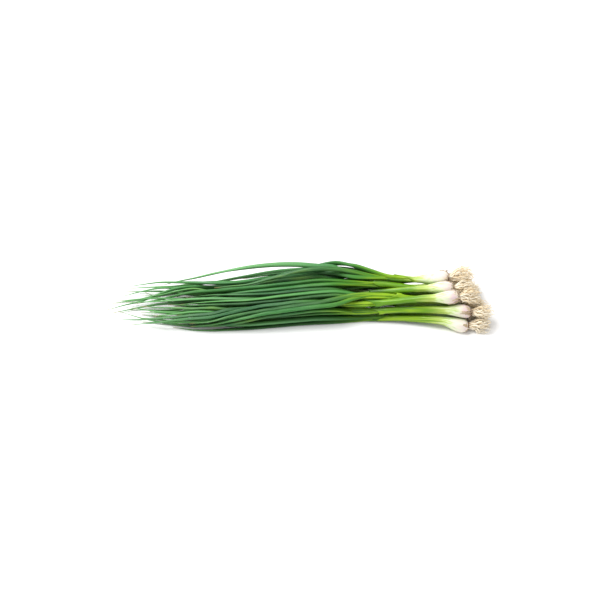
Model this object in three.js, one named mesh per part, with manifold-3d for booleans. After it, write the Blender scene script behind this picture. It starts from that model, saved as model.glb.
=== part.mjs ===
// A bunch of spring onions lying on its side: twelve plants, each with a tuft of roots, a bulb that runs
// into a pale stalk, and round tapering leaves that leave the stalk at its neck.
// Millimetres, +Z up. The roots point to +X and the leaf tips to -X, and the bunch rests on z = 0.

import * as THREE from "three";
import { mergeVertices } from "three/addons/utils/BufferGeometryUtils.js";
import Module from "manifold-3d";

const wasm = await Module();
wasm.setup();

// Driving dimensions
const rootTip = 218; // x that the longest roots may reach
const leafTip = -238; // x that the longest leaf may reach
const bulbRadius = 7.8;
const stalkRadius = 4.1;
const leafRadius = 3.3; // half the width of a leaf at its widest
const leafFlatness = 0.78; // thickness of a leaf over its width
const leafTipRadius = 0.45;
const rootRadius = 0.8;
const rootLength = 32;
const rootsPerPlant = 12;
const clearance = 0.6; // between neighbours as they lie
const nodeGap = 0.3; // between a plant's roots, stalk and leaves

// The bulb's outline, by the distance from the root plate
const plateShare = 0.5; // the root plate's radius over the bulb's
const tuftShare = 0.75; // the root tuft's own room over the bulb's
const bulbWidest = 8;
const bulbFade = 24; // from the widest place to the even stalk
const plateThickness = 2.6;

// A leaf's outline, by its share of the way from the neck to the tip
const leafBase = 0.8; // its width at the neck over its greatest
const leafWidest = 0.25;
const leafTaper = 1.8; // how late it narrows

// Where each plant lies: its bulb across (y) and above (z) the table, x of its root plate and of its neck,
// how many leaves it has, and how far across the bunch they lie on the way, from -1 (front) to 1 (back).
// Those of the upper plants cross over the others towards the front. A few of a plant's leaves may spring
// clear in a high arch.
const plants = [
  { across: -28, above: 8, plate: 186, neck: 84, leafCount: 4, midway: -0.6 },
  { across: -13, above: 8, plate: 181, neck: 76, leafCount: 4, midway: -0.1 },
  { across: 2, above: 8, plate: 176, neck: 88, leafCount: 4, midway: 0.3 },
  { across: 17, above: 8, plate: 171, neck: 74, leafCount: 4, midway: 0.6 },
  { across: 32, above: 8, plate: 167, neck: 90, leafCount: 4, midway: 0.8 },
  { across: -18, above: 22, plate: 189, neck: 72, leafCount: 5, midway: -0.7 },
  { across: -3, above: 22, plate: 180, neck: 92, leafCount: 4, midway: -0.3 },
  { across: 12, above: 22, plate: 172, neck: 80, leafCount: 4, midway: 0.1 },
  { across: 27, above: 22, plate: 166, neck: 96, leafCount: 4, midway: 0.7, springing: 1 },
  { across: -8, above: 35, plate: 175, neck: 68, leafCount: 4, midway: -0.9 },
  { across: 7, above: 35, plate: 170, neck: 76, leafCount: 5, midway: -0.5 },
  { across: 24, above: 35, plate: 165, neck: 104, leafCount: 5, midway: 0.9, springing: 3 },
];

// The room that the bunch takes up at each x: y of its front and back edges, and z of its top. It is drawn
// in at the waist, between the bulbs and the necks, and swells again where the leaves part.
const outline = [
  { x: 220, front: -34, back: 45, top: 46 },
  { x: 178, front: -34, back: 45, top: 46 },
  { x: 152, front: -26, back: 42, top: 40 },
  { x: 122, front: -19, back: 42, top: 32 },
  { x: 98, front: -17, back: 45, top: 34 },
  { x: 80, front: -16, back: 47, top: 36 },
  { x: 40, front: -18, back: 43, top: 32 },
  { x: 0, front: -21, back: 38, top: 28 },
  { x: -60, front: -28, back: 36, top: 23 },
  { x: -100, front: -31, back: 38, top: 20 },
  { x: -155, front: -29, back: 40, top: 15 },
  { x: -230, front: -24, back: 32, top: 12 },
];

// A seeded draw, so that the bunch is the same every time.
function makeDraw(seed) {
  let state = seed;
  return (low, high) => {
    state = (Math.imul(state, 1664525) + 1013904223) >>> 0;
    return low + ((high - low) * state) / 4294967296;
  };
}

const clamp = (value, low, high) => Math.min(high, Math.max(low, value));
const mix = (from, to, share) => from + (to - from) * share;

// From 0 to 1 with a soft start and end.
function smooth(share) {
  const s = clamp(share, 0, 1);
  return s * s * (3 - 2 * s);
}

// A plant's radius at a distance from its root plate: the tuft's room in front of it, then bulb and stalk.
function plantRadius(plant, distance) {
  if (distance < 0) return plant.bulb * tuftShare;
  const plate = plant.bulb * plateShare;
  if (distance < bulbWidest) {
    const s = 1 - distance / bulbWidest;
    return plate + (plant.bulb - plate) * Math.sqrt(1 - s * s);
  }
  const fade = smooth((distance - bulbWidest) / bulbFade);
  return mix(plant.bulb, plant.stalk, fade);
}

// How far along a leaf a place is, from 0 at the neck to 1 at the tip.
const alongLeaf = (leaf, x) => clamp((leaf.neck - x) / (leaf.neck - leaf.tip), 0, 1);

// Half a leaf's width at a place.
function leafWidth(leaf, x) {
  const share = alongLeaf(leaf, x);
  const swell = mix(leafBase, 1, smooth(share / leafWidest));
  const taper = 1 - Math.pow(clamp((share - leafWidest) / (1 - leafWidest), 0, 1), leafTaper);
  return mix(leafTipRadius, leaf.width * swell, taper);
}

const frontShortening = 105; // how much sooner a leaf ends at the front edge than in the middle
const backShortening = 70;
const edgePower = 1.4; // how late towards the edges they shorten
const unevenness = 100; // how much sooner the shortest of the leaves side by side ends
const shortestLeaf = -50; // x of its tip
const tipFlare = 14; // how far to one side the last part of a leaf may turn off
const flareFrom = 0.72; // share of a leaf from which it does
const springHeight = 36; // how high the first springing leaf of a plant arches
const springStep = 0.2; // share by which each next one arches less
const springShortening = 60; // and how much sooner it ends
const springEarly = 0.85; // below 1, the arch is at its highest before the middle
const springRoom = 10; // how far behind the others it may lie
const leafOffset = 1.6; // how far from the middle of the stalk a leaf's middle starts
const offsetStep = 0.2; // how much nearer each next one starts

// The leaves of each plant. Their tips fan out, and those near the edges end short of the longest one.
function growLeaves(draw) {
  const leaves = [];
  for (const plant of plants) {
    plant.bulb = bulbRadius * draw(0.9, 1.08);
    plant.stalk = stalkRadius * draw(0.92, 1.08);
    plant.reach = plant.plate + rootLength * draw(0.85, 1);
    plant.fan = draw(0, Math.PI); // the direction in which its leaves lie side by side
    plant.curl = draw(-0.6, 0.6); // how far its roots turn round its axis
    plant.leaves = [];
    for (let k = 0; k < plant.leafCount; k++) {
      const towards = clamp(0.5 * plant.midway + draw(-0.8, 0.8), -0.95, 0.95);
      const shortening = unevenness * draw(0, 1);
      const springs = k < (plant.springing ?? 0);
      const edge = (towards < 0 ? frontShortening : backShortening) * Math.abs(towards + 0.1) ** edgePower;
      const leaf = {
        plant,
        neck: plant.neck,
        tip: Math.min(leafTip + edge + shortening + (springs ? springShortening : 0), shortestLeaf),
        spring: springs ? springHeight * (1 - springStep * k) : 0,
        flare: tipFlare * draw(-1, 1),
        towards: springs ? 1 : towards,
        midway: plant.midway + draw(-0.6, 0.6),
        width: leafRadius * draw(0.8, 1.06),
        turn: draw(-0.5, 0.5), // radians round its own axis at the neck
        twist: draw(-0.8, 0.8), // and how much more by the tip
        offset: (k % 2 ? 1 : -1) * (leafOffset - offsetStep * k),
      };
      plant.leaves.push(leaf);
      leaves.push(leaf);
    }
  }
  return leaves;
}

const leaves = growLeaves(makeDraw(32002));
const strands = [...plants, ...leaves];

// The bunch is laid on stations, planes across it. A stalk runs from its root tips to just past its neck,
// and a leaf from there to just past its tip. Each holds its place (y, z) and its radius at each station.
const stationStep = 20;
const stationX = (j) => rootTip - j * stationStep;
const stationAt = (x) => (rootTip - x) / stationStep;
const lastStation = Math.ceil(stationAt(leafTip));

// The outline at a place.
function outlineAt(x) {
  let i = 1;
  while (i < outline.length - 1 && outline[i].x > x) i++;
  const [a, b] = [outline[i - 1], outline[i]];
  const share = clamp((a.x - x) / (a.x - b.x), 0, 1);
  const [front, back, top] = ["front", "back", "top"].map((side) => mix(a[side], b[side], share));
  return { front, back, top };
}

const halfBulbs = 38; // half the breadth of the row of bulbs

// Where a strand would lie across the bunch if it had the table to itself.
function aim(strand, x) {
  const { front, back } = outlineAt(x);
  const across = (strand.plant ?? strand).across / halfBulbs;
  if (!strand.plant) return mix(front, back, (1 + across) / 2);
  const share = alongLeaf(strand, x);
  const midway = mix(across, strand.midway, smooth(2 * share));
  const towards = mix(midway, strand.towards, smooth(2 * share - 1));
  const flare = strand.flare * smooth((share - flareFrom) / (1 - flareFrom));
  return mix(front, back, (1 + towards) / 2) + flare;
}

const thinnestRoom = 2.2; // keeps leaf tips from passing through each other between stations

// The room a strand asks for: the widest a stalk is near a place, and never too little at a leaf's tip.
function strandRadius(strand, x) {
  if (strand.plant) return Math.max(leafWidth(strand, x), thinnestRoom);
  const nearby = [-9, -5, 0, 5, 9].map((shift) => plantRadius(strand, strand.plate - x + shift));
  return Math.max(...nearby);
}

const waistLift = 0.62; // how high the stalks lie at the waist over their bulbs' height
const bulbsFrom = 125; // x from which the stalks rise to their bulbs
const bulbsTo = 170;
const partingLength = 60; // how far past the neck a plant's own leaves lie free of each other
const liftPerLeaf = 6; // each leaf starts this much above the one before, and then comes down on it

// The strands before they come down: each over its own aim, and every leaf above the ones before it.
function startStrands() {
  for (const [rank, strand] of strands.entries()) {
    const stalk = strand.plant ?? strand;
    strand.first = strand.plant ? stalk.last : Math.floor(stationAt(stalk.reach));
    strand.last = Math.ceil(stationAt(strand.plant ? strand.tip : strand.neck));
    strand.y = [];
    strand.z = [];
    strand.r = [];
    for (let j = strand.first; j <= strand.last; j++) {
      const x = stationX(j);
      const low = stalk.above * mix(waistLift, 1, smooth((x - bulbsFrom) / (bulbsTo - bulbsFrom)));
      const free = strand.plant ? smooth((stalk.neck - x) / partingLength) : 0;
      strand.r[j] = strandRadius(strand, x);
      strand.y[j] = aim(strand, x);
      strand.z[j] = low + free * liftPerLeaf * (rank - plants.length);
    }
  }
}

// A strand's places on one axis with those of the strand that it goes on from or into.
function wholeLine(strand, axis) {
  const line = [];
  if (strand.plant) {
    for (let j = strand.plant.first; j < strand.first; j++) line[j] = strand.plant[axis][j];
  }
  for (let j = strand.first; j <= strand.last; j++) line[j] = strand[axis][j];
  if (!strand.plant) {
    for (const j of [strand.last + 1, strand.last + 2]) {
      line[j] = strand.leaves.reduce((sum, leaf) => sum + leaf[axis][j], 0) / strand.leaves.length;
    }
  }
  return line;
}

// Bending: each station moves towards the smooth line through its neighbours.
function bend(strand, axis, firm) {
  const line = wholeLine(strand, axis);
  const moved = strand[axis].slice();
  for (let j = strand.first; j <= strand.last; j++) {
    const [a, b, here, c, d] = [-2, -1, 0, 1, 2].map((step) => line[j + step]);
    let want = here;
    if (b === undefined) want = 2 * c - d;
    else if (c === undefined) want = 2 * b - a;
    else if (a === undefined || d === undefined) want = (b + c) / 2;
    else want = (4 * b + 4 * c - a - d) / 6;
    moved[j] = mix(here, want, firm);
  }
  return moved;
}

// Two strands that touch push each other apart, at a station or some way on towards the next one. A plant's
// own leaves start as one and part further along.
function pushApart(j, onwards) {
  const next = onwards > 0 ? j + 1 : j;
  const here = strands.filter((strand) => j >= strand.first && next <= strand.last);
  const spots = here.map(({ y, z, r }) => [y, z, r].map((line) => mix(line[j], line[next], onwards)));
  const moves = here.map(() => [0, 0]);
  for (let a = 0; a < here.length; a++) {
    const own = here[a].plant ?? here[a];
    const parted = here[a].plant ? smooth((own.neck - stationX(j)) / partingLength) : 0;
    for (let b = a + 1; b < here.length; b++) {
      const dy = spots[b][0] - spots[a][0];
      const dz = spots[b][1] - spots[a][1];
      const square = dy * dy + dz * dz;
      let reach = spots[a][2] + spots[b][2] + clearance;
      if ((here[b].plant ?? here[b]) === own) reach *= parted;
      if (square >= reach * reach || square === 0) continue;
      const push = pushShare * (reach / Math.sqrt(square) - 1);
      moves[a][0] -= push * dy;
      moves[a][1] -= push * dz;
      moves[b][0] += push * dy;
      moves[b][1] += push * dz;
    }
  }
  const weights = [1 - onwards, onwards];
  const size = weights[0] ** 2 + weights[1] ** 2;
  here.forEach((strand, i) => {
    [j, next].slice(0, onwards > 0 ? 2 : 1).forEach((station, end) => {
      strand.y[station] += (moves[i][0] * weights[end]) / size;
      strand.z[station] += (moves[i][1] * weights[end]) / size;
    });
  });
}

const bulbSink = 1; // how far a bulb's underside is pressed flat
const leafSink = 1; // and a leaf's

// The arch of a springing leaf at a place, from 0 at its ends to 1.
const archAt = (strand, x) => (strand.spring ? Math.sin(Math.PI * alongLeaf(strand, x) ** springEarly) : 0);

// The table carries the bunch, and what drew it together keeps it within its outline.
function keepInPlace(strand) {
  for (let j = strand.first; j <= strand.last; j++) {
    const { front, back, top } = outlineAt(stationX(j));
    const radius = strand.r[j];
    const arch = archAt(strand, stationX(j));
    const lowest = radius - (strand.plant ? leafSink : bulbSink) + arch * (strand.spring ?? 0);
    strand.y[j] = clamp(strand.y[j], front + radius, back - radius + springRoom * arch);
    strand.z[j] = clamp(strand.z[j], lowest, Math.max(top - radius, lowest));
  }
}

// A leaf starts beside the middle of its own stalk.
function joinStalk(leaf) {
  const { plant, first, offset } = leaf;
  leaf.y[first] = plant.y[first] + offset * Math.cos(plant.fan);
  leaf.z[first] = plant.z[first] + offset * Math.sin(plant.fan);
}

const fallSteps = 460; // the leaves come down and find their places
const settleSteps = 300; // and then only make room for each other
const fallPerStep = 0.8;
const stiffness = 0.6; // how much of a bend a strand takes out in a step
const leafPull = 0.05; // how much of the way towards its aim a leaf goes in a step
const stalkPull = 0.12;
const pushShare = 0.3; // how much of an overlap a push takes out on either side

const contactsOnwards = [0, 1 / 3, 2 / 3]; // shares of the way to the next station

function layBunch() {
  startStrands();
  for (let step = 0; step < fallSteps + settleSteps; step++) {
    const falling = step < fallSteps;
    const firm = falling ? stiffness : stiffness * (1 - (step - fallSteps) / settleSteps);
    const bent = strands.map((strand) => [bend(strand, "y", firm), bend(strand, "z", firm)]);
    strands.forEach((strand, i) => {
      [strand.y, strand.z] = bent[i];
      if (!falling) return;
      for (let j = strand.first; j <= strand.last; j++) {
        strand.y[j] = mix(strand.y[j], aim(strand, stationX(j)), strand.plant ? leafPull : stalkPull);
        strand.z[j] -= fallPerStep;
      }
    });
    for (let round = 0; round < 2; round++) {
      for (let j = 0; j <= lastStation; j++) {
        for (const onwards of contactsOnwards) pushApart(j, onwards);
      }
      strands.forEach(keepInPlace);
      leaves.forEach(joinStalk);
    }
  }
}

layBunch();

// A strand's place at any x along it.
function place(strand, x) {
  const at = stationAt(x);
  if (strand.plant && at < strand.first) {
    const [y, z] = place(strand.plant, x);
    return [y + strand.offset * Math.cos(strand.plant.fan), z + strand.offset * Math.sin(strand.plant.fan)];
  }
  const j = clamp(Math.floor(at), strand.first, strand.last - 1);
  return [mix(strand.y[j], strand.y[j + 1], at - j), mix(strand.z[j], strand.z[j + 1], at - j)];
}

// A closed tube through rings of points, with a flat cap at each end.
function tube(rings) {
  const sides = rings[0].length;
  const end = (rings.length - 1) * sides;
  const index = [];
  for (let i = 0; i < end; i += sides) {
    for (let k = 0; k < sides; k++) {
      const next = (k + 1) % sides;
      index.push(i + k, i + next + sides, i + next, i + k, i + k + sides, i + next + sides);
    }
  }
  for (let k = 1; k + 1 < sides; k++) index.push(0, k, k + 1, end, end + k + 1, end + k);
  const geometry = new THREE.BufferGeometry();
  geometry.setAttribute("position", new THREE.Float32BufferAttribute(rings.flat(2), 3));
  geometry.setIndex(index);
  return geometry;
}

// An oval ring across the bunch. What would sink into the table is pressed flat on it.
function oval(x, [y, z], wide, thin, turn, sides) {
  const ring = [];
  for (let k = 0; k < sides; k++) {
    const angle = (2 * Math.PI * (k + 0.5)) / sides - Math.PI / 2;
    const u = wide * Math.cos(angle);
    const v = thin * Math.sin(angle);
    const up = z + u * Math.sin(turn) + v * Math.cos(turn);
    ring.push([x, y + u * Math.cos(turn) - v * Math.sin(turn), Math.max(up, 0)]);
  }
  return ring;
}

function solidOf(geometry) {
  const merged = mergeVertices(geometry, 1e-4);
  const vertProperties = new Float32Array(merged.attributes.position.array);
  const triVerts = new Uint32Array(merged.index.array);
  return new wasm.Manifold(new wasm.Mesh({ numProp: 3, vertProperties, triVerts }));
}

function geometryOf(solid) {
  const mesh = solid.getMesh();
  const geometry = new THREE.BufferGeometry();
  geometry.setAttribute("position", new THREE.BufferAttribute(mesh.vertProperties, 3));
  geometry.setIndex(new THREE.BufferAttribute(mesh.triVerts, 1));
  return geometry;
}

// One solid of several closed ones that reach into each other.
const joined = (geometries) => geometryOf(geometries.map(solidOf).reduce((all, next) => all.add(next)));

const stalkSides = 10;
const bulbRings = [0, 1.6, 4.5, 8, 13, 20, 28]; // distances from the root plate
const evenStalk = 42; // and from here on there is a ring at each station
const shortestStep = 5;

function stalkGeometry(plant) {
  const spots = bulbRings.map((distance) => plant.plate - distance);
  const firstEven = Math.ceil(stationAt(plant.plate - evenStalk));
  for (let j = firstEven; stationX(j) > plant.neck + shortestStep; j++) spots.push(stationX(j));
  spots.push(plant.neck);
  return tube(
    spots.map((x) => {
      const r = plantRadius(plant, plant.plate - x);
      return oval(x, place(plant, x), r, r, 0, stalkSides);
    }),
  );
}

const leafSides = 5;

function leafGeometry(leaf) {
  const spots = [leaf.neck - nodeGap];
  for (let j = leaf.first; stationX(j) > leaf.tip + shortestStep; j++) {
    if (stationX(j) < leaf.neck - shortestStep) spots.push(stationX(j));
  }
  spots.push(leaf.tip);
  return tube(
    spots.map((x) => {
      const r = leafWidth(leaf, x);
      const turn = leaf.turn + leaf.twist * alongLeaf(leaf, x);
      return oval(x, place(leaf, x), r, r * leafFlatness, turn, leafSides);
    }),
  );
}

// How far a plant's roots may spread from its axis in one direction before they meet a neighbour's.
const widestTuft = 12;
const narrowestTuft = 1.5;
const rootMargin = 0.95; // from the middle of a root to the border with the next tuft

function rootRoom(plant, x, toY, toZ) {
  const [y, z] = place(plant, x);
  const own = plantRadius(plant, plant.plate - x);
  let room = widestTuft;
  for (const other of plants) {
    if (other === plant || x > other.reach + stationStep) continue;
    const [otherY, otherZ] = place(other, x);
    const theirs = plantRadius(other, other.plate - x);
    const distance = Math.hypot(otherY - y, otherZ - z);
    const facing = (toY * (otherY - y) + toZ * (otherZ - z)) / distance;
    const border = (distance * distance + own * own - theirs * theirs) / (2 * distance);
    if (facing > 0.05) room = Math.min(room, (border - rootMargin) / facing);
  }
  if (toZ < 0) room = Math.min(room, (z - rootMargin) / -toZ);
  return Math.max(room, narrowestTuft);
}

const goldenAngle = Math.PI * (3 - Math.sqrt(5));
const rootRings = [0, 0.28, 0.6, 1]; // shares of a root's way
const rootSides = 3;
const rootSink = 0.8; // how deep in the plate a root starts
const quickSpread = 1.9; // how soon the tuft is at its widest
const plateSides = 8;

// A root leaves the plate and spreads out to its share of the room as it runs on, turning a little.
function rootGeometry(plant, k, draw) {
  const start = plant.plate + nodeGap + rootSink;
  const end = plant.plate + (plant.reach - plant.plate) * draw(0.8, 1);
  const share = 0.9 * Math.sqrt((k + 0.6) / rootsPerPlant);
  const turn = plant.curl + draw(-0.1, 0.1);
  const angle = k * goldenAngle + draw(-0.1, 0.1);
  const rings = rootRings.map((way) => {
    const x = mix(start, end, way);
    const direction = angle + turn * way;
    const [toY, toZ] = [Math.cos(direction), Math.sin(direction)];
    const widest = rootRoom(plant, x, toY, toZ);
    const spread = share * mix(0.8 * plateShare * plant.bulb, widest, smooth(way * quickSpread));
    const [y, z] = place(plant, x);
    const r = rootRadius * mix(1.15, 0.75, way);
    return oval(x, [y + spread * toY, z + spread * toZ], r, r, 0, rootSides).reverse();
  });
  return tube(rings);
}

// The root plate, a low dome that the roots grow out of, with its roots.
function rootsGeometry(plant, draw) {
  const plate = [0, 0.4, 0.8, 1].map((share) => {
    const x = plant.plate + nodeGap + share * plateThickness;
    const r = plateShare * plant.bulb * Math.sqrt(1 - 0.85 * share * share);
    return oval(x, place(plant, x), r, r, 0, plateSides).reverse();
  });
  const roots = [];
  for (let k = 0; k < rootsPerPlant; k++) roots.push(rootGeometry(plant, k, draw));
  return joined([tube(plate), ...roots]);
}

const stalkMaterial = new THREE.MeshStandardMaterial({ color: 0xb9d66b, roughness: 0.4, metalness: 0 });
const leafMaterial = new THREE.MeshStandardMaterial({ color: 0x3f8a4a, roughness: 0.5, metalness: 0 });
const rootMaterial = new THREE.MeshStandardMaterial({ color: 0xe0cda4, roughness: 0.9, metalness: 0 });

const bunch = new THREE.Group();
const rootDraw = makeDraw(77);

// Adds a named piece to the bunch.
function addNode(name, geometry, material) {
  const mesh = new THREE.Mesh(geometry, material);
  mesh.name = name;
  bunch.add(mesh);
}

plants.forEach((plant, index) => {
  const name = "plant_" + String(index + 1).padStart(2, "0");
  addNode(name + "_roots", rootsGeometry(plant, rootDraw), rootMaterial);
  addNode(name + "_stalk", stalkGeometry(plant), stalkMaterial);
  addNode(name + "_leaves", joined(plant.leaves.map(leafGeometry)), leafMaterial);
});

// The bunch stands with the middle of its underside at the origin.
const box = new THREE.Box3().setFromObject(bunch);
const middle = box.getCenter(new THREE.Vector3());
for (const mesh of bunch.children) mesh.geometry.translate(-middle.x, -middle.y, -box.min.z);

export default bunch;
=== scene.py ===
import math

import bpy
import numpy as np
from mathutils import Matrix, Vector


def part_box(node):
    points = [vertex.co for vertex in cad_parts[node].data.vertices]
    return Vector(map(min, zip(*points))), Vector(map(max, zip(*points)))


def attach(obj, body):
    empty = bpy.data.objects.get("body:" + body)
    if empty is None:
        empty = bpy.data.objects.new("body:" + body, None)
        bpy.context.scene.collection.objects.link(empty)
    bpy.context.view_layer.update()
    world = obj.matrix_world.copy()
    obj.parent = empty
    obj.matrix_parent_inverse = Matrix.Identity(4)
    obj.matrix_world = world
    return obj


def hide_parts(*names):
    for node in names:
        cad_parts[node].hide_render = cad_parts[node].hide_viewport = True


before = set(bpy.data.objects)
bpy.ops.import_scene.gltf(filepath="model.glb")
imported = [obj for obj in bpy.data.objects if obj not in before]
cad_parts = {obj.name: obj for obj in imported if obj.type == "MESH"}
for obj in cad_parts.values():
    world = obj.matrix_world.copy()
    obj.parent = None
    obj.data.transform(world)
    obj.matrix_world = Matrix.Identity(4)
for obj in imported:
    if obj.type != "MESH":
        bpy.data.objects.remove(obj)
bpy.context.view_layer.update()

# The bunch is laid in millimetres, roots to +X, in the same steps as its solids were. toMetres and the
# frame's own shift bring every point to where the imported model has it.
toMetres = 0.001
print("laying the bunch")

bunch = {
    "rootTip": 218,  # x that the longest roots may reach
    "leafTip": -238,  # x that the longest leaf may reach
    "bulbRadius": 7.8,
    "stalkRadius": 4.1,
    "leafRadius": 3.3,
    "leafFlatness": 0.78,  # thickness of a leaf over its width
    "rootLength": 32,
    "clearance": 0.6,
    "plateShare": 0.5,  # the root plate's radius over the bulb's
    "tuftShare": 0.75,  # the room of a tuft over the bulb's radius
    "bulbWidest": 8,  # from the root plate
    "bulbFade": 24,
    "bulbRings": (4.5, 8, 13),  # the widest rings of a solid bulb, from the root plate
    "seed": 32002,
}


class Strand:
    def __init__(self, **facts):
        self.__dict__.update(facts)


def makePlant(across, above, plate, neck, leafCount, midway, springing=0):
    lies = {"across": across, "above": above, "plate": plate, "neck": neck, "midway": midway}
    return Strand(plant=None, leafCount=leafCount, springing=springing, **lies)


# y and z of the bulb, x of the root plate and of the neck, leaves, how far across they lie on the way, and
# how many of them spring clear of the others in a high arch
plants = [
    makePlant(-28, 8, 186, 84, 4, -0.6),
    makePlant(-13, 8, 181, 76, 4, -0.1),
    makePlant(2, 8, 176, 88, 4, 0.3),
    makePlant(17, 8, 171, 74, 4, 0.6),
    makePlant(32, 8, 167, 90, 4, 0.8),
    makePlant(-18, 22, 189, 72, 5, -0.7),
    makePlant(-3, 22, 180, 92, 4, -0.3),
    makePlant(12, 22, 172, 80, 4, 0.1),
    makePlant(27, 22, 166, 96, 4, 0.7, 1),
    makePlant(-8, 35, 175, 68, 4, -0.9),
    makePlant(7, 35, 170, 76, 5, -0.5),
    makePlant(24, 35, 165, 104, 5, 0.9, 3),
]

# The room that the bunch takes up at each x: y of its front and back, and z of its top
outline = {
    "x": [220, 178, 152, 122, 98, 80, 40, 0, -60, -100, -155, -230],
    "front": [-34, -34, -26, -19, -17, -16, -18, -21, -28, -31, -29, -24],
    "back": [45, 45, 42, 42, 45, 47, 43, 38, 36, 38, 40, 32],
    "top": [46, 46, 40, 32, 34, 36, 32, 28, 23, 20, 15, 12],
}


def makeDraw(seed):
    state = [seed]

    def draw(low, high):
        state[0] = (state[0] * 1664525 + 1013904223) % 2**32
        return low + (high - low) * state[0] / 2**32

    return draw


def mix(start, end, share):
    return start + (end - start) * share


def smooth(share):
    s = np.clip(share, 0, 1)
    return s * s * (3 - 2 * s)


def outlineAt(side, x):
    return np.interp(-np.asarray(x, float), [-at for at in outline["x"]], outline[side])


# A plant's radius by the distance from its root plate: the tuft's room in front of it, then bulb and stalk
def plantRadius(plant, distance):
    d = np.asarray(distance, float)
    plate = plant.bulb * bunch["plateShare"]
    left = 1 - np.clip(d, 0, bunch["bulbWidest"]) / bunch["bulbWidest"]
    crown = plate + (plant.bulb - plate) * np.sqrt(1 - left * left)
    fade = mix(plant.bulb, plant.stalk, smooth((d - bunch["bulbWidest"]) / bunch["bulbFade"]))
    body = np.where(d < bunch["bulbWidest"], crown, fade)
    return np.where(d < 0, plant.bulb * bunch["tuftShare"], body)


def alongLeaf(leaf, x):
    return np.clip((leaf.neck - np.asarray(x, float)) / (leaf.neck - leaf.tip), 0, 1)


leafShape = {"base": 0.8, "widest": 0.25, "taper": 1.8, "tipRadius": 0.45}


def leafWidth(leaf, x, tipRadius=leafShape["tipRadius"]):
    share = alongLeaf(leaf, x)
    swell = mix(leafShape["base"], 1, smooth(share / leafShape["widest"]))
    past = np.clip((share - leafShape["widest"]) / (1 - leafShape["widest"]), 0, 1)
    return mix(tipRadius, leaf.width * swell, 1 - past ** leafShape["taper"])


# How the plants and their leaves vary. Places across the bunch go from -1 at the front to 1 at the back.
growth = {
    "bulbs": (0.9, 1.08),
    "stalks": (0.92, 1.08),
    "roots": (0.85, 1),
    "leafWidths": (0.8, 1.06),
    "curl": 0.6,
    "follow": 0.5,  # how much the end of a leaf keeps to its plant's way
    "stray": 0.8,
    "outermost": 0.95,
    "longestAt": -0.1,
    "shortening": 100,
    "frontShortening": 105,
    "backShortening": 70,
    "shorteningPower": 1.4,
    "springShortening": 60,
    "lastTip": -50,
    "springHeight": 36,
    "springDrop": 0.2,  # each further leaf that springs clear arches this much less
    "flare": 14,
    "midway": 0.6,
    "turn": 0.5,
    "twist": 0.8,
    "offset": 1.6,  # from the middle of the neck
    "offsetDrop": 0.2,
}


# The leaves of each plant. Their tips fan out, and those near the edges end short of the longest one.
def growLeaves(draw):
    g = growth
    grown = []
    for plant in plants:
        plant.bulb = bunch["bulbRadius"] * draw(*g["bulbs"])
        plant.stalk = bunch["stalkRadius"] * draw(*g["stalks"])
        plant.reach = plant.plate + bunch["rootLength"] * draw(*g["roots"])
        plant.fan = draw(0, math.pi)
        plant.curl = draw(-g["curl"], g["curl"])
        plant.leaves = []
        for k in range(plant.leafCount):
            towards = g["follow"] * plant.midway + draw(-g["stray"], g["stray"])
            towards = min(max(towards, -g["outermost"]), g["outermost"])
            shortening = g["shortening"] * draw(0, 1)
            springs = k < plant.springing
            edge = g["frontShortening"] if towards < 0 else g["backShortening"]
            edge *= abs(towards - g["longestAt"]) ** g["shorteningPower"]
            edge += g["springShortening"] if springs else 0
            side = 1 if k % 2 else -1
            leaf = Strand(
                plant=plant,
                neck=plant.neck,
                tip=min(bunch["leafTip"] + edge + shortening, g["lastTip"]),
                spring=g["springHeight"] * (1 - g["springDrop"] * k) if springs else 0,
                flare=g["flare"] * draw(-1, 1),
                towards=1 if springs else towards,
                midway=plant.midway + draw(-g["midway"], g["midway"]),
                width=bunch["leafRadius"] * draw(*g["leafWidths"]),
                turn=draw(-g["turn"], g["turn"]),
                twist=draw(-g["twist"], g["twist"]),
                offset=side * (g["offset"] - g["offsetDrop"] * k),
            )
            plant.leaves.append(leaf)
            grown.append(leaf)
    return grown


leaves = growLeaves(makeDraw(bunch["seed"]))
strands = plants + leaves

# Stations are planes across the bunch. Column c of every array stands for station c + firstStation.
stationStep = 20
firstStation = -1
lastStation = math.ceil((bunch["rootTip"] - bunch["leafTip"]) / stationStep)
stations = np.arange(firstStation, lastStation + 1)
stationX = bunch["rootTip"] - stations * stationStep


def stationAt(x):
    return (bunch["rootTip"] - x) / stationStep


def column(station):
    return station - firstStation


laying = {
    "halfWidth": 38,
    "flareFrom": 0.72,  # share of a leaf's length
    "flareOver": 0.28,
    "archPower": 0.85,
    "archBack": 10,  # how far past the bunch's back an arching leaf may lie
    "leastRoom": 2.2,
    "nearby": (-9, -5, 0, 5, 9),  # a plant keeps the widest room found this far along
    "slopeFrom": 125,  # upper plants come down from the bulbs to the necks
    "slopeOver": 45,
    "slopeTo": 0.62,
    "partOver": 60,  # the leaves of a plant part this far past its neck
    "startRise": 6,
    "sink": 1,  # how far a strand may be pressed into the table
    "leafPull": 0.05,
    "plantPull": 0.12,
    "fall": 460,
    "settle": 300,
    "fallPerStep": 0.8,
    "stiffness": 0.6,
    "push": 0.3,
    "pushesPerStep": 2,
}


# Where a strand would lie across the bunch if it had the table to itself
def aimOf(strand):
    front, back = outlineAt("front", stationX), outlineAt("back", stationX)
    across = (strand.plant or strand).across / laying["halfWidth"]
    if not strand.plant:
        return mix(front, back, (1 + across) / 2)
    share = alongLeaf(strand, stationX)
    midway = mix(across, strand.midway, smooth(2 * share))
    towards = mix(midway, strand.towards, smooth(2 * share - 1))
    flare = strand.flare * smooth((share - laying["flareFrom"]) / laying["flareOver"])
    return mix(front, back, (1 + towards) / 2) + flare


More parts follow.
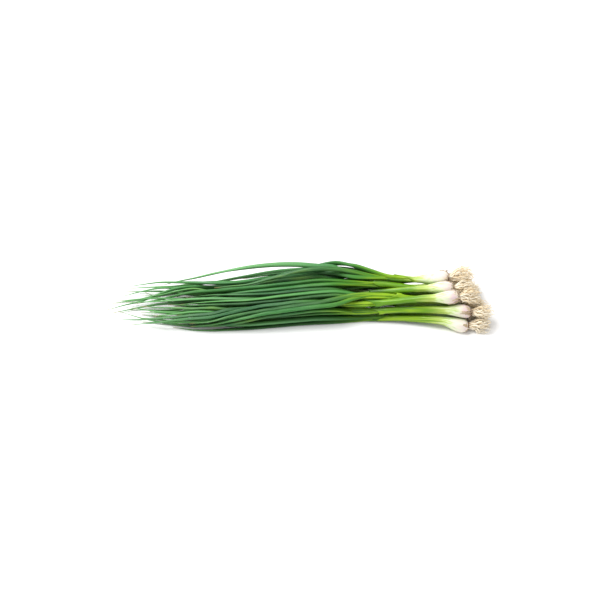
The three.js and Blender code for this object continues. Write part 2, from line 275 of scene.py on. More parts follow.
# How high a leaf that springs clear arches, and how far back it may lie for it
def archOf(strand):
    if strand.plant and strand.spring:
        return np.sin(np.pi * alongLeaf(strand, stationX) ** laying["archPower"])
    return 0 * stationX


def roomOf(strand):
    if strand.plant:
        return np.maximum(leafWidth(strand, stationX), laying["leastRoom"])
    nearby = [plantRadius(strand, strand.plate - stationX + along) for along in laying["nearby"]]
    return np.max(nearby, axis=0)


# Lays the strands: they fall, bend, and push each other apart until they lie on the table and on each
# other. Each is a row of complex numbers, y + z i, by station.
def layBunch():
    rows = {id(strand): row for row, strand in enumerate(strands)}
    plantRows = np.array([rows[id(strand.plant or strand)] for strand in strands])
    isLeaf = np.array([strand.plant is not None for strand in strands])
    aim = np.array([aimOf(strand) for strand in strands])
    room = np.array([roomOf(strand) for strand in strands])
    for strand in strands:
        strand.first = strand.plant.last if strand.plant else math.floor(stationAt(strand.reach))
        strand.last = math.ceil(stationAt(strand.tip if strand.plant else strand.neck))
    first = np.array([strand.first for strand in strands])[:, None]
    last = np.array([strand.last for strand in strands])[:, None]
    own = (stations >= first) & (stations <= last)

    # The start, each leaf above the ones before it
    rank = np.arange(len(strands))[:, None] - len(plants)
    above = np.array([(strand.plant or strand).above for strand in strands])[:, None]
    neck = np.array([(strand.plant or strand).neck for strand in strands])[:, None]
    slope = smooth((stationX - laying["slopeFrom"]) / laying["slopeOver"])
    low = above * mix(laying["slopeTo"], 1, slope)
    free = np.where(isLeaf[:, None], smooth((neck - stationX) / laying["partOver"]), 0)
    lines = np.where(own, aim + 1j * (low + laying["startRise"] * free * rank), np.nan)

    # Bending follows a plant on into the mean of its leaves, and a leaf back into its plant
    before = isLeaf[:, None] & (stations < first)
    after = ~isLeaf[:, None] & (stations > last) & (stations <= last + 2)
    shares = np.zeros((len(strands), len(strands)))
    for plant in plants:
        for leaf in plant.leaves:
            shares[rows[id(plant)], rows[id(leaf)]] = 1 / len(plant.leaves)

    def wholeLines():
        whole = np.full((len(strands), len(stations) + 4), np.nan, complex)
        known = np.where(own, lines, 0)
        middle = np.where(before, lines[plantRows], lines)
        whole[:, 2:-2] = np.where(after, shares @ known, middle)
        return whole

    missing = np.isnan(wholeLines())
    noBefore, noAfter = missing[:, 1:-3], missing[:, 3:-1]
    nearEnd = missing[:, :-4] | missing[:, 4:]

    def bent(firm):
        whole = wholeLines()
        a, b, c, d = whole[:, :-4], whole[:, 1:-3], whole[:, 3:-1], whole[:, 4:]
        want = np.where(nearEnd, (b + c) / 2, (4 * b + 4 * c - a - d) / 6)
        want = np.where(noAfter, 2 * b - a, want)
        want = np.where(noBefore, 2 * c - d, want)
        return np.where(own, mix(lines, want, firm), np.nan)

    # Who may touch whom, at a station or some way on towards the next one
    contacts = []
    for station in range(lastStation + 1):
        for onwards in (0, 1 / 3, 2 / 3):
            c = column(station)
            following = station + 1 if onwards else station
            here = np.flatnonzero((first[:, 0] <= station) & (last[:, 0] >= following))
            if len(here) < 2:
                continue
            radius = mix(room[here, c], room[here, column(following)], onwards)
            reach = radius[:, None] + radius[None, :] + bunch["clearance"]
            kin = plantRows[here][:, None] == plantRows[here][None, :]
            both = isLeaf[here][:, None] & isLeaf[here][None, :]
            parted = np.where(both, smooth((neck[here] - stationX[c]) / laying["partOver"]), 0)
            reach = np.where(kin, reach * parted, reach)
            np.fill_diagonal(reach, 0)
            contacts.append((here, c, onwards, reach, np.eye(len(here))))

    front, back, top = (outlineAt(side, stationX) for side in ("front", "back", "top"))
    arch = np.array([archOf(strand) for strand in strands])
    lift = np.array([strand.spring if strand.plant else 0 for strand in strands])[:, None]
    lowest = room - laying["sink"] + arch * lift
    highest = np.maximum(top - room, lowest)
    nearest, furthest = front + room, back - room + laying["archBack"] * arch
    leafRows = np.flatnonzero(isLeaf)
    starts = column(first[leafRows, 0])
    offsets = np.array([leaf.offset * np.exp(1j * leaf.plant.fan) for leaf in leaves])
    pull = np.where(isLeaf, laying["leafPull"], laying["plantPull"])[:, None]

    for step in range(laying["fall"] + laying["settle"]):
        falling = step < laying["fall"]
        fading = 1 if falling else 1 - (step - laying["fall"]) / laying["settle"]
        lines = bent(laying["stiffness"] * fading)
        if falling:
            lines = mix(lines.real, aim, pull) + 1j * (lines.imag - laying["fallPerStep"])
        for again in range(laying["pushesPerStep"]):
            for here, c, onwards, reach, itself in contacts:
                spots = lines[here, c]
                if onwards:
                    spots = mix(spots, lines[here, c + 1], onwards)
                gaps = spots[None, :] - spots[:, None]
                push = np.maximum(reach / (np.abs(gaps) + itself) - 1, 0)
                moves = -laying["push"] * (push * gaps).sum(axis=1)
                size = (1 - onwards) ** 2 + onwards**2
                lines[here, c] += moves * (1 - onwards) / size
                if onwards:
                    lines[here, c + 1] += moves * onwards / size
            lines = np.clip(lines.real, nearest, furthest) + 1j * np.clip(lines.imag, lowest, highest)
            lines[leafRows, starts] = lines[plantRows[leafRows], starts] + offsets
    for strand, line in zip(strands, lines):
        strand.line = line


layBunch()

# Each line goes on before and past its own stations, along what the strand grows from or into
for plant in plants:
    line = plant.line.copy()
    for c in (column(plant.last + 1), column(plant.last + 2)):
        line[c] = np.mean([leaf.line[c] for leaf in plant.leaves])
    plant.whole = line
for leaf in leaves:
    line = leaf.plant.whole + leaf.offset * np.exp(1j * leaf.plant.fan)
    c = column(leaf.first)
    line[c:] = leaf.line[c:]
    leaf.whole = line


# Where a strand's middle is at x, on a smooth line through its stations
def place(strand, x):
    known = np.flatnonzero(~np.isnan(strand.whole))
    at = np.clip(stationAt(np.asarray(x, float)) - firstStation, known[0], known[-1])
    j = np.clip(np.floor(at).astype(int), known[0], known[-1] - 1)
    a, b, c, d = [strand.whole[np.clip(j + step, known[0], known[-1])] for step in (-1, 0, 1, 2)]
    t = at - j
    slopeB, slopeC = (c - a) / 2, (d - b) / 2
    onB = 2 * t**3 - 3 * t**2 + 1
    onC = 3 * t**2 - 2 * t**3
    return onB * b + onC * c + (t**3 - 2 * t**2 + t) * slopeB + (t**3 - t**2) * slopeC


# How much of what a point faces is taken up by other strands, each seen as a round across the bunch: 0 to
# 1. The point faces outwards from its own strand, and a little up. It sets the painted shade between
#    strands.
crowd = {"step": 4, "furthest": 30, "nearest": 0.01, "upwards": 0.6, "softening": 16}
crowdX = np.arange(bunch["leafTip"], bunch["rootTip"], crowd["step"])


def roundOf(strand):
    if strand.plant:
        return leafWidth(strand, crowdX) * ((crowdX > strand.tip) & (crowdX < strand.neck))
    radius = plantRadius(strand, strand.plate - crowdX)
    return radius * ((crowdX > strand.neck) & (crowdX < strand.reach))


crowdRounds = [(strand, place(strand, crowdX), roundOf(strand)) for strand in strands]


def crowdingOf(own, rings):
    c = np.rint((rings[:, :, 0] - crowdX[0]) / crowd["step"]).astype(int)
    c = np.clip(c, 0, len(crowdX) - 1)
    spots = rings[:, :, 1] + 1j * rings[:, :, 2]
    outwards = spots - spots.mean(axis=1, keepdims=True)
    facing = outwards / np.maximum(np.abs(outwards), crowd["nearest"]) + 1j * crowd["upwards"]
    taken = np.zeros(spots.shape)
    for strand, middles, radii in crowdRounds:
        if strand is own or strand.plant is own:
            continue
        gap = middles[c] - spots
        distance = np.maximum(np.abs(gap), crowd["nearest"])
        half = np.arcsin(np.minimum(radii[c] / distance, 1))
        angle = np.angle(gap * 1j / facing)
        seen = np.clip(angle + half, 0, np.pi) - np.clip(angle - half, 0, np.pi)
        taken += np.where(distance < crowd["furthest"], seen, 0)
    crowding = np.minimum(taken / np.pi, 1)
    for again in range(crowd["softening"]):
        crowding[1:-1] = (crowding[:-2] + 2 * crowding[1:-1] + crowding[2:]) / 4
    return crowding


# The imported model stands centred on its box, so one stalk tells how far it was moved.
def frameShift():
    plant = plants[0]
    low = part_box("plant_01_stalk")[0]
    rings = plant.plate - np.array(bunch["bulbRings"])
    straight = np.array([np.interp(x, stationX[::-1], plant.whole.real[::-1]) for x in rings])
    front = np.min(straight - plantRadius(plant, plant.plate - rings))
    return np.array([low[0] / toMetres - plant.neck, low[1] / toMetres - front, 0])


shift = frameShift()


# A piece of the bunch, put together from closed tubes. Each point keeps where it is along its strand, the
# strand's own tone, where it is from the strand's middle and how crowded it is, for the materials and their
# painted shade.
class Piece:
    def __init__(self, node, suffix, slotName, material):
        self.node, self.name, self.slotName, self.material = node, node + suffix, slotName, material
        self.points, self.faces = [], []
        self.fields = {"along": [], "tone": [], "local": [], "crowding": []}
        self.count = 0

    def tube(self, rings, along, look, own=None):
        tone, spot = look
        turns, sides = rings.shape[:2]
        middle = rings.mean(axis=1, keepdims=True)
        length = np.cumsum(np.r_[0, np.linalg.norm(np.diff(middle[:, 0], axis=0), axis=1)])
        local = rings - middle
        local[:, :, 0] = length[:, None]
        i, k = np.meshgrid(np.arange(turns - 1), np.arange(sides), indexing="ij")
        here, beside = i * sides + k, i * sides + (k + 1) % sides
        quads = np.stack([here, beside, beside + sides, here + sides], axis=-1).reshape(-1, 4)
        self.faces += (quads + self.count).tolist()
        self.faces.append([self.count + at for at in range(sides)][::-1])
        self.faces.append([self.count + (turns - 1) * sides + at for at in range(sides)])
        self.points.append(rings.reshape(-1, 3))
        crowding = crowdingOf(own, rings) if own else np.zeros((turns, sides))
        self.fields["along"].append(np.repeat(np.asarray(along, float), sides, axis=0))
        self.fields["tone"].append(np.tile(tone, (turns * sides, 1)))
        self.fields["local"].append(local.reshape(-1, 3) + spot)
        self.fields["crowding"].append(crowding.ravel())
        self.count += turns * sides

    def finish(self):
        points = np.concatenate(self.points)
        points[:, 2] = np.maximum(points[:, 2], 0)  # what would sink into the table is pressed flat
        mesh = bpy.data.meshes.new(self.name)
        mesh.from_pydata(((points + shift) * toMetres).tolist(), [], self.faces)
        for name, values in self.fields.items():
            kind, part = ("FLOAT", "value") if name == "crowding" else ("FLOAT_VECTOR", "vector")
            attribute = mesh.attributes.new(name, kind, "POINT")
            attribute.data.foreach_set(part, np.concatenate(values).astype(np.float32).ravel())
        mesh.shade_smooth()
        mesh.materials.append(self.material)
        piece = bpy.data.objects.new(self.name, mesh)
        bpy.context.scene.collection.objects.link(piece)
        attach(piece, "root")
        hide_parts(self.node)


# Materials
def colour(red, green, blue):  # as the eye sees it, 0 to 255
    shares = [c / 255 for c in (red, green, blue)]
    linear = [share / 12.92 if share <= 0.04 else ((share + 0.055) / 1.055) ** 2.4 for share in shares]
    return (*linear, 1)


class Value:
    def __init__(self, finish, socket):
        self.finish, self.socket = finish, socket

    def maths(self, operation, *others):
        return self.finish.node("ShaderNodeMath", {"operation": operation}, dict(enumerate(others)))

    def __add__(self, other):
        return self.maths("ADD", self, other)

    def __sub__(self, other):
        return self.maths("SUBTRACT", self, other)

    def __rsub__(self, other):
        return self.maths("SUBTRACT", other, self)

    def __mul__(self, other):
        return self.maths("MULTIPLY", self, other)

    __radd__ = __add__
    __rmul__ = __mul__


class Finish:
    def __init__(self, name, sockets):
        self.material = bpy.data.materials.new(name)
        self.material.use_nodes = True
        self.nodes = self.material.node_tree.nodes
        self.shader = self.nodes["Principled BSDF"]
        for socket, value in sockets.items():
            self.shade(socket, value)

    def node(self, kind, settings, sockets, output=0):
        made = self.nodes.new(kind)
        for key, value in settings.items():
            setattr(made, key, value)
        for key, value in sockets.items():
            self.give(made.inputs[key], value)
        return Value(self, made.outputs[output])

    def give(self, socket, value):
        if isinstance(value, Value):
            self.material.node_tree.links.new(value.socket, socket)
        else:
            socket.default_value = value

    def shade(self, socket, value):
        self.give(self.shader.inputs[socket], value)

    def attribute(self, name, output="Vector"):
        return self.node("ShaderNodeAttribute", {"attribute_name": name}, {}, output)

    def parts(self, vector):
        split = self.node("ShaderNodeSeparateXYZ", {}, {0: vector})
        return [Value(self, out) for out in split.socket.node.outputs]

    def noise(self, vector, stretch, detail=2.0):
        scaled = self.node("ShaderNodeVectorMath", {"operation": "MULTIPLY"}, {0: vector, 1: stretch})
        sockets = {"Vector": scaled, "Scale": 1.0, "Detail": detail}
        return self.node("ShaderNodeTexNoise", {}, sockets, "Fac")

    def fade(self, value, start, end):
        sockets = {"Value": value, "From Min": start, "From Max": end}
        return self.node("ShaderNodeMapRange", {"interpolation_type": "SMOOTHSTEP"}, sockets)

    def blend(self, first, second, share, kind="MIX"):
        settings = {"data_type": "RGBA", "blend_type": kind, "clamp_factor": True}
        return self.node("ShaderNodeMix", settings, {0: share, 6: first, 7: second}, 2)

    def bump(self, height, strength, distance):
        sockets = {"Strength": strength, "Distance": distance, "Height": height}
        return self.node("ShaderNodeBump", {}, sockets, "Normal")


# The colours, and where one fades into the next in millimetres: from the root plate up to the limes, and
# from the neck after them
green = {
    "bulbWhite": colour(238, 232, 216),
    "mauve": colour(224, 194, 200),
    "blushFades": (16, 5),
    "mint": colour(214, 232, 178),
    "mintFrom": (9, 25),
    "pale": colour(192, 210, 104),
    "paleFrom": (19, 35),
    "lime": colour(140, 180, 22),
    "limeDeep": colour(94, 146, 6),
    "limeFrom": (25, 54),
    "middle": colour(58, 124, 24),
    "middleFrom": (0, 46),
    "dark": colour(28, 106, 34),
    "blueDark": colour(22, 94, 52),
    "darkFrom": (30, 98),
    # deep: for leaves of a darker tone, and the colour of the painted shade on lower sides
    "deep": colour(6, 44, 18),
    "bloom": colour(122, 184, 110),
    "olive": colour(122, 156, 40),
    "dry": colour(138, 126, 84),
    "shade": (0.27, 0.38, 0.18, 1),  # painted shade: what is left of the colour deep between the strands
}


def greenColour(finish):
    g = green
    local = finish.attribute("local")
    height = finish.parts(local)[2]
    fromPlate, fromNeck, tipShare = finish.parts(finish.attribute("along"))
    tone, hue, age = finish.parts(finish.attribute("tone"))
    streak = finish.noise(local, (0.02, 0.55, 0.55), 3.0)
    fine = finish.noise(local, (0.05, 2.6, 2.6))
    broad = finish.noise(local, (0.03, 0.12, 0.12))
    uneven, patchy = streak - 0.5, broad - 0.5

    # A white bulb with a mauve blush runs into mint, pale green and lime
    edge = uneven * 60 + hue * 8
    blush = finish.fade(broad + hue * 0.08, 0.36, 0.62) * finish.fade(fromPlate, *g["blushFades"])
    body = finish.blend(g["bulbWhite"], g["mauve"], blush * 0.85)
    body = finish.blend(body, g["mint"], finish.fade(fromPlate + edge * 0.7, *g["mintFrom"]))
    body = finish.blend(body, g["pale"], finish.fade(fromPlate + edge, *g["paleFrom"]))
    lime = finish.blend(g["lime"], g["limeDeep"], finish.fade(streak + tone * 0.14, 0.38, 0.6))
    body = finish.blend(body, lime, finish.fade(fromPlate + edge, *g["limeFrom"]))

    # Past the neck it turns darker, and bluer on some leaves
    reached = finish.fade(fromNeck + uneven * 80 + tone * 16, *g["middleFrom"])
    body = finish.blend(body, g["middle"], reached)
    dark = finish.blend(g["dark"], g["blueDark"], finish.fade(hue + patchy * 2, -0.6, 0.6))
    reached = finish.fade(fromNeck + uneven * 60 + tone * 22, *g["darkFrom"])
    body = finish.blend(body, dark, reached)

    # Each leaf has its own tone, the lower sides get painted shade, and some leaves grow old
    deeper = finish.fade(tone, 0.1, -1) * finish.fade(fromNeck, 0, 80)
    body = finish.blend(body, g["deep"], deeper * 0.75)
    lighter = finish.fade(tone, 0.1, 1) * finish.fade(fromNeck, 20, 120)
    body = finish.blend(body, g["bloom"], lighter * 0.5)
    # Painted shade: the lower side of each stalk and leaf, from 34 mm past the root plate on, is painted
    # deeper
    paintedUnderShade = finish.fade(height, 0.7, -2.2) * finish.fade(fromPlate, 34, 70)
    body = finish.blend(body, g["deep"], paintedUnderShade * 0.72)
    old = finish.fade(age + patchy, 0.85, 1.3) * finish.fade(fromNeck, 30, 90)
    body = finish.blend(body, g["olive"], old * 0.6)

    # Veins, paler ends, painted shade deep between the strands, and dry tips
    veins = finish.fade(fine, 0.35, 0.75)
    body = finish.blend(body, g["bloom"], veins * finish.fade(fromNeck, 10, 70) * 0.38)
    body = finish.blend(body, g["bloom"], finish.fade(tipShare, 0.55, 1) * 0.4)
    # Painted shade: the colour is multiplied darker where other strands crowd round a point
    paintedShade = finish.fade(finish.attribute("crowding", "Fac"), 0.4, 1)
    body = finish.blend(body, g["shade"], paintedShade * 0.86, "MULTIPLY")
    body = finish.blend(body, g["dry"], finish.fade(tipShare + uneven * 0.06, 0.96, 0.995))
    return body, veins, local


skin = {
    "Coat Roughness": 0.2,
    "Specular IOR Level": 0.3,
    "Subsurface Weight": 0.12,
    "Subsurface Radius": (0.6, 1.0, 0.25),
    "Subsurface Scale": 0.002,
}


def makeSkin(name, roughness, coat):
    finish = Finish(name, {**skin, "Roughness": roughness, "Coat Weight": coat})
    body, veins, local = greenColour(finish)
    ribs = finish.noise(local, (0.03, 1.7, 1.7))
    finish.shade("Base Color", body)
    finish.shade("Normal", finish.bump(ribs + veins * 0.3, 0.35, 0.0006))
    return finish.material


root = {
    "pale": colour(250, 240, 218),
    "beige": colour(236, 216, 180),
    "brown": colour(120, 84, 48),
    "roughness": 0.62,
}


def makeFibre():
    finish = Finish("root fibre", {"Roughness": root["roughness"]})
    local = finish.attribute("local")
    brownness = finish.parts(finish.attribute("along"))[1]
    tone, hue = finish.parts(finish.attribute("tone"))[:2]
    patch = finish.noise(local, (0.12, 0.4, 0.4), 3.0)
    body = finish.blend(root["pale"], root["beige"], finish.fade(patch + tone * 0.22, 0.4, 0.64))
    body = finish.blend(body, root["brown"], brownness * finish.fade(patch + hue * 0.1, 0.25, 0.5))
    finish.shade("Base Color", body)
    finish.shade("Normal", finish.bump(finish.noise(local, (0.8, 2.0, 2.0), 3.0), 0.5, 0.0005))
    return finish.material


print("materials")
stalkSkin = makeSkin("stalk skin", 0.34, 0.18)
leafSkin = makeSkin("leaf skin", 0.42, 0.04)
rootFibre = makeFibre()


def ringAngles(sides):
    return -2 * np.pi * (np.arange(sides) + 0.5) / sides + np.pi / 2


def ringsAcross(x, y, z):
    return np.stack(np.broadcast_arrays(x, y, z), axis=2)


# A strand's own tone, hue and age, and where along the grain of its material it starts
def drawLook(draw, ages=False):
    tone = [draw(-1, 1), draw(-1, 1), draw(0, 1) if ages else 0]
    return tone, [draw(0, 900), 0, 0]


# Stalks: a bulb that runs into a shaft of sheaths. Each sheath ends in a low slanting collar.
stalk = {
    "sides": 56,
    "crown": (0, 0.25, 0.7, 1.3, 2.1, 3, 4, 5.2),  # rings on the round of the bulb, from the root plate
    "crownEnds": 6.8,
    "step": 1.6,
    "wobble": 0.035,
    "wobbleStarts": 10,
    "windsOver": 40,
    "wrinkles": 23,
    "wrinkleDepth": 0.012,
    "wrinkleLength": 7,
    "collar": 0.3,
    "collars": 2,
    "collarAt": (0.3, 0.6),  # share of the stalk's length
    "collarLength": 2.2,
    "slant": 7,
    "mouthLength": 28,
    "mouthWide": 4.3,
    "mouthThin": 2.9,
    "mouthSlant": 15,
    "inwards": ((0.92, 0.1), (0.86, 1.5), (0.8, 5), (0.4, 6), (0.05, 6)),  # the lip, then down its inside
}


def makeStalk(plant, name, draw):
    piece = Piece(name + "_stalk", "_skin", "stalk", stalkSkin)
    reach = plant.plate - plant.neck
    distance = np.r_[stalk["crown"], np.arange(stalk["crownEnds"], reach - 1, stalk["step"]), reach]
    angle = ringAngles(stalk["sides"])
    x = plant.plate - distance
    centre = place(plant, x)
    radius = plantRadius(plant, distance)[:, None] + np.zeros(stalk["sides"])
    phases = [draw(0, 2 * math.pi) for at in range(5)]
    drift = distance[:, None] / stalk["windsOver"]
    wobble = sum(np.cos((at + 2) * angle + phases[at] + drift * (at - 1.5)) / (at + 1.5) for at in range(4))
    radius *= 1 + stalk["wobble"] * wobble * smooth(distance / stalk["wobbleStarts"])[:, None]
    for at in range(stalk["collars"]):
        ends = reach * draw(*stalk["collarAt"]) + stalk["slant"] * np.cos(angle + draw(0, 2 * math.pi))
        radius -= stalk["collar"] * smooth((distance[:, None] - ends) / stalk["collarLength"])
    radius += stalk["collar"] * 0.5
    fading = np.exp(-distance / stalk["wrinkleLength"])[:, None]
    radius *= 1 + stalk["wrinkleDepth"] * np.cos(stalk["wrinkles"] * angle + phases[4] + drift) * fading
    mouth = smooth(1 - (reach - distance) / stalk["mouthLength"])[:, None]
    across = angle - plant.fan
    hug = np.hypot(stalk["mouthWide"] * np.cos(across), stalk["mouthThin"] * np.sin(across))
    radius = mix(radius, hug, mouth)
    slantEnd = mouth * stalk["mouthSlant"] * (1 + np.cos(angle + phases[0])) / 2
    y = centre.real[:, None] + radius * np.cos(angle)
    z = centre.imag[:, None] + radius * np.sin(angle)
    rings = ringsAcross(x[:, None] + slantEnd, y, z)
    last = rings[-1]
    middle = last.mean(axis=0) * (0, 1, 1)
    lip = [middle + (last - middle) * (1, share, share) + (back, 0, 0) for share, back in stalk["inwards"]]
    distance = np.r_[distance, [reach] * len(lip)]
    along = np.stack([distance, distance - reach, np.zeros(len(distance))], axis=1)
    piece.tube(np.concatenate([rings, lip]), along, drawLook(draw), plant)
    piece.finish()


# Leaves: tapering, with a few soft edges along them, and here and there a crease
blade = {
    "sides": 24,
    "step": 3.6,
    "inside": 22,  # how far a leaf starts inside its stalk
    "insideWidth": 0.45,
    "tipRadius": 0.25,
    "edges": 0.085,
    "creases": 2,
    "creaseShare": 0.4,  # how many of them come about
    "creaseAt": (0.2, 0.9),  # share of the leaf's length
    "creaseLength": (6, 16),
    "creaseDepth": (0.2, 0.5),
    "creaseSwell": 0.25,
}


def makeLeaves(plant, name, draw):
    piece = Piece(name + "_leaves", "_blades", "leaf", leafSkin)
    for leaf in plant.leaves:
        x = np.r_[np.arange(leaf.neck + blade["inside"], leaf.tip + 2, -blade["step"]), leaf.tip]
        centre = place(leaf, x)
        share = alongLeaf(leaf, x)
        out = smooth((leaf.neck + blade["inside"] - x) / blade["inside"])
        wide = leafWidth(leaf, x, blade["tipRadius"]) * mix(blade["insideWidth"], 1, out)
        thin = wide * bunch["leafFlatness"]
        for crease in range(blade["creases"]):
            if draw(0, 1) < blade["creaseShare"]:
                middle = mix(leaf.neck, leaf.tip, draw(*blade["creaseAt"]))
                length, depth = draw(*blade["creaseLength"]), draw(*blade["creaseDepth"])
                pinch = depth * np.exp(-(((x - middle) / length) ** 2))
                thin = thin * (1 - pinch)
                wide = wide * (1 + blade["creaseSwell"] * pinch)
        turn = (leaf.turn + leaf.twist * share)[:, None]
        angle = ringAngles(blade["sides"])
        edges = 1 + blade["edges"] * (
            np.cos(3 * angle + draw(0, 6) + share[:, None] * draw(-3, 3))
            + 0.5 * np.cos(5 * angle + draw(0, 6) + share[:, None] * draw(-5, 5))
        )
        u = wide[:, None] * np.cos(angle) * edges
        v = thin[:, None] * np.sin(angle) * edges
        y = centre.real[:, None] + u * np.cos(turn) - v * np.sin(turn)
        z = centre.imag[:, None] + u * np.sin(turn) + v * np.cos(turn)
        along = np.stack([plant.plate - x, leaf.neck - x, share], axis=1)
        piece.tube(ringsAcross(x[:, None], y, z), along, drawLook(draw, ages=True), leaf)
    piece.finish()


# Roots: many thin ones in a tuft. Those of the front plants are shorter and bent in towards the others.
tuft = {
    "count": 72,
    "sides": 5,
    "steps": 30,
    "radius": 0.56,
    "thickness": (0.7, 1.25),
    "widest": 12,
    "narrowest": 1.5,
    "margin": 0.8,
    "frontmost": 28,  # the front plant's distance before y = 0, and the depth of the bunch behind it
    "depth": 60,
    "shortest": 0.62,
    "longest": (0.92, 1.14),  # at the front and at the back
    "hookFrom": 0.75,
    "hook": 6,
    "curls": (1.2, 4.2),
    "curlSize": (0.8, 3),
    "sway": (0.2, 1.4),
    "drawnIn": 5,
}


# How far a plant's roots may spread from its axis before they meet a neighbour's
def rootRoom(plant, x, direction):
    spot = place(plant, x)
    own = plantRadius(plant, plant.plate - x)
    room = np.full(len(x), float(tuft["widest"]))
    towards = np.exp(1j * direction)
    for other in plants:
        if other is plant:
            continue
        theirs = plantRadius(other, other.plate - x)
        gap = place(other, x) - spot
        distance = np.abs(gap)
        facing = (towards * np.conj(gap)).real / distance
        border = (distance**2 + own**2 - theirs**2) / (2 * distance) - tuft["margin"]
        meets = (facing > 0.05) & (x < other.reach + stationStep)
        room = np.where(meets, np.minimum(room, border / np.where(meets, facing, 1)), room)
    down = -towards.imag
    table = (spot.imag - tuft["margin"]) / np.where(down > 0, down, 1)
    room = np.where(down > 0, np.minimum(room, table), room)
    return np.maximum(room, tuft["narrowest"])


# Rings square to a path, turning as little as they can from one to the next
def ringsAlong(path, radius, sides):
    ahead = np.gradient(path, axis=0)
    ahead /= np.linalg.norm(ahead, axis=1, keepdims=True)
    side = np.cross(ahead[0], (0, 0, 1))
    rings = []
    angle = 2 * np.pi * np.arange(sides) / sides
    for middle, forward, r in zip(path, ahead, radius):
        side = side - forward * np.dot(side, forward)
        side /= np.linalg.norm(side)
        up = np.cross(forward, side)
        rings.append(middle + r * (np.outer(np.cos(angle), side) + np.outer(np.sin(angle), up)))
    return np.array(rings)


def rootPath(plant, k, draw):
    way = np.linspace(0, 1, tuft["steps"])
    behind = (plant.across + tuft["frontmost"]) / tuft["depth"]
    length = (plant.reach - plant.plate) * draw(tuft["shortest"], mix(*tuft["longest"], behind))
    hook = draw(0, 1) ** 2
    folded = way - hook * tuft["hook"] * np.maximum(way - tuft["hookFrom"], 0) ** 2
    x = plant.plate + length * folded
    direction = k * math.pi * (3 - math.sqrt(5)) + draw(-0.3, 0.3) + plant.curl * way
    direction = direction + draw(-0.7, 0.7) * way**2
    share = 0.95 * math.sqrt((k + 0.6) / tuft["count"])
    room = rootRoom(plant, x, direction)
    spread = share * mix(0.85 * bunch["plateShare"] * plant.bulb, room, smooth(way * 1.7))
    curls, phase = draw(*tuft["curls"]), draw(0, 2 * math.pi)
    size = draw(*tuft["curlSize"]) / (1 + 0.5 * curls)
    curl = size * smooth(way * 3) * np.exp(1j * (phase + 2 * np.pi * curls * way))
    sway = draw(*tuft["sway"]) * np.sin(2 * np.pi * draw(0.6, 1.6) * way + draw(0, 6)) * way
    drawnIn = tuft["drawnIn"] * (1 - behind) * way
    spot = place(plant, x) + spread * np.exp(1j * direction) + curl
    spot = spot + sway * np.exp(1j * draw(0, 6)) + drawnIn
    x = x + 0.6 * size * np.sin(phase + 2 * np.pi * curls * way) * smooth(way * 3)
    return way, np.stack([x, spot.real, np.maximum(spot.imag, tuft["radius"])], axis=1)


# Dried scraps of the bulb's outer skin: thin strips that lie along it and curl away round the root plate
scrap = {
    "count": 12,
    "sides": 8,
    "steps": 16,
    "shortest": 4,
    "longest": 15,
    "wide": 2.1,
    "thick": 0.22,
    "cupped": 0.35,
    "clear": 0.3,  # above the skin and the table
    "lift": 2.6,
}


def makeScrap(piece, plant, draw):
    way = np.linspace(0, 1, scrap["steps"])
    distance = draw(-2.4, 0.8) + mix(scrap["shortest"], scrap["longest"], draw(0, 1) ** 2) * way
    angle = draw(0, 2 * math.pi) + draw(-0.5, 0.5) * way
    curled = draw(0.1, 1) * (1 - smooth(way * 2.5)) + draw(0, 0.5) * smooth(way * 3 - 2) ** 2
    radius = plantRadius(plant, np.maximum(distance, 0)) + scrap["clear"] + scrap["lift"] * curled
    spot = place(plant, plant.plate - distance) + radius * np.exp(1j * angle)
    path = np.stack([plant.plate - distance, spot.real, np.maximum(spot.imag, scrap["clear"])], axis=1)
    ahead = np.gradient(path, axis=0)
    outward = np.stack([np.zeros(len(way)), np.cos(angle), np.sin(angle)], axis=1)
    across = np.cross(ahead, outward)
    across /= np.linalg.norm(across, axis=1, keepdims=True)
    up = np.cross(across, ahead)
    up /= np.linalg.norm(up, axis=1, keepdims=True)
    torn = 1 + 0.3 * np.sin(9 * way + draw(0, 6)) + 0.2 * np.sin(23 * way + draw(0, 6))
    wide = scrap["wide"] * draw(0.5, 1.2) * torn * np.sqrt(np.sin(np.pi * mix(0.06, 0.96, way)))
    turn = 2 * np.pi * np.arange(scrap["sides"]) / scrap["sides"]
    flat = np.cos(turn)[None, :, None] * (wide[:, None] * across)[:, None, :]
    cupped = -scrap["cupped"] * (wide[:, None] * np.cos(turn) ** 2)[:, :, None] * up[:, None, :]
    thin = scrap["thick"] * np.sin(turn)[None, :, None] * up[:, None, :]
    along = np.stack([way, mix(draw(0.5, 1), draw(0, 0.6), way), way], axis=1)
    piece.tube(path[:, None, :] + flat + cupped + thin, along, drawLook(draw))


# The root plate: a lumpy brown disc that the roots grow out of
rootPlate = {
    "sides": 28,
    "depth": 2.6,
    "rings": (0, 0.02, 0.2, 0.4, 0.6, 0.75, 0.88, 0.96, 1),  # share of its depth
    "firstRing": 0.9,
}


def makeRootPlate(piece, plant, draw):
    share = np.array(rootPlate["rings"])
    x = plant.plate + share * rootPlate["depth"]
    radius = bunch["plateShare"] * plant.bulb * np.sqrt(1 - 0.97 * share**2)
    radius[0] *= rootPlate["firstRing"]
    centre = place(plant, x)
    angle = -ringAngles(rootPlate["sides"])
    lumps = 1 + 0.07 * np.cos(5 * angle + draw(0, 6)) + 0.05 * np.cos(9 * angle + draw(0, 6))
    y = centre.real[:, None] + radius[:, None] * lumps * np.cos(angle)
    z = centre.imag[:, None] + radius[:, None] * lumps * np.sin(angle)
    piece.tube(ringsAcross(x[:, None], y, z), np.tile([0, 1, 0], (len(x), 1)), drawLook(draw))


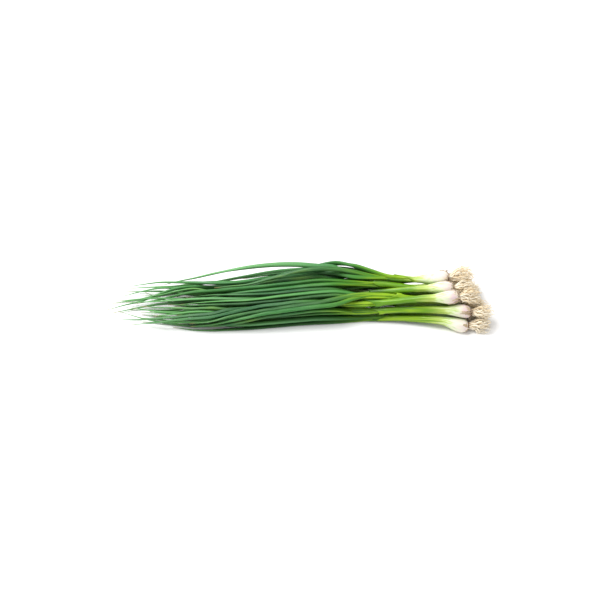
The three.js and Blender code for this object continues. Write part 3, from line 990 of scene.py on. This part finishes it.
def makeRoots(plant, name, draw):
    piece = Piece(name + "_roots", "_tuft", "roots", rootFibre)
    makeRootPlate(piece, plant, draw)
    for k in range(tuft["count"]):
        way, path = rootPath(plant, k, draw)
        thickness = tuft["radius"] * draw(*tuft["thickness"]) * mix(1.15, 0.5, way)
        along = np.stack([way, 0.75 * (1 - smooth(way * 5)), way], axis=1)
        piece.tube(ringsAlong(path, thickness, tuft["sides"]), along, drawLook(draw))
    for at in range(scrap["count"]):
        makeScrap(piece, plant, draw)
    piece.finish()


print("stalks, leaves and roots")
lookSeed = 4242
draw = makeDraw(lookSeed)
for index, plant in enumerate(plants):
    name = "plant_%02d" % (index + 1)
    makeStalk(plant, name, draw)
    makeLeaves(plant, name, draw)
    makeRoots(plant, name, draw)

# The floor, the light and the camera
print("floor, light and camera")
studio = {
    "floorSize": 8,
    "floorColour": (0.9, 0.9, 0.9, 1),
    "floorRoughness": 0.9,
    "worldColour": (1, 1, 1, 1),
    "worldStrength": 0.8,
    "keyPower": 34,
    "keySize": 1.1,
    "keyFrom": (-0.75, 0.35, 1.5),
    "keyTowards": (0, 0, 0),
}

bpy.ops.mesh.primitive_plane_add(size=studio["floorSize"])
floor = bpy.context.object
floor.name = "floor"
floorSockets = {"Roughness": studio["floorRoughness"], "Base Color": studio["floorColour"]}
floor.data.materials.append(Finish("floor", floorSockets).material)

world = bpy.data.worlds.new("studio")
world.use_nodes = True
background = world.node_tree.nodes["Background"]
background.inputs["Color"].default_value = studio["worldColour"]
background.inputs["Strength"].default_value = studio["worldStrength"]
bpy.context.scene.world = world

light = bpy.data.lights.new("key", "AREA")
light.energy = studio["keyPower"]
light.size = studio["keySize"]
lamp = bpy.data.objects.new("key", light)
lamp.location = studio["keyFrom"]
aim = Vector(studio["keyTowards"]) - Vector(studio["keyFrom"])
lamp.rotation_euler = aim.to_track_quat("-Z", "Y").to_euler()
bpy.context.scene.collection.objects.link(lamp)

photo = {
    "size": 600,  # pixels
    "mmPerPixel": 1.137,
    "elevation": 45,
    "distance": 2.5,  # metres from what the camera looks at
    "lookAt": (-0.4, 12.6, 0),  # millimetres
    "sensor": 36,
}

camera = bpy.data.cameras.new("camera")
camera.sensor_width = photo["sensor"]
camera.lens = photo["sensor"] * photo["distance"] / (photo["size"] * photo["mmPerPixel"] * toMetres)
eye = bpy.data.objects.new("camera", camera)
tilt = math.radians(photo["elevation"])
target = np.array(photo["lookAt"]) * toMetres
eye.location = target + photo["distance"] * np.array([0, -math.cos(tilt), math.sin(tilt)])
eye.rotation_euler = (math.pi / 2 - tilt, 0, 0)
bpy.context.scene.collection.objects.link(eye)
bpy.context.scene.camera = eye
bpy.context.scene.view_settings.view_transform = "Standard"
